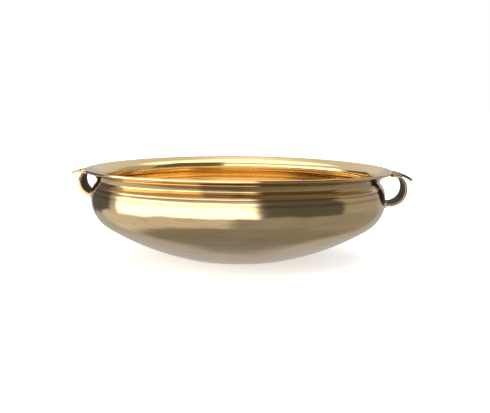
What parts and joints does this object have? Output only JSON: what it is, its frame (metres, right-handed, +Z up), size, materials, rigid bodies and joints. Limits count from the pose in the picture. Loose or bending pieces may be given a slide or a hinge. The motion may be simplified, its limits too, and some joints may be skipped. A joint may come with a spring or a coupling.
{
  "type": "brass urli bowl",
  "caption": "Wide shallow brass bowl with flared rim, beaded neck, round belly and loop handles with thumb tabs, for floating flowers or serving",
  "frame": {"origin": "on the floor under the middle of the foot", "axes": "+Z up through the middle of the bowl; handles on +X (right) and -X (left)"},
  "size_m": [0.342, 0.305, 0.089],
  "materials": {
    "polished_brass": "hand-polished cast brass with turning lines and light brown tarnish",
    "aged_brass": "dark tarnished brass with edges worn bright",
    "braze_brass": "dull brazing filler, slightly lumpy and tarnished"
  },
  "bodies": {
    "root": {"bowl_shell": "polished_brass", "right_strap": "aged_brass", "right_thumb_tab": "aged_brass", "right_rim_braze": "braze_brass", "right_tab_braze": "braze_brass", "right_belly_braze": "braze_brass", "left_strap": "aged_brass", "left_thumb_tab": "aged_brass", "left_rim_braze": "braze_brass", "left_tab_braze": "braze_brass", "left_belly_braze": "braze_brass"}
  },
  "joints": []
}
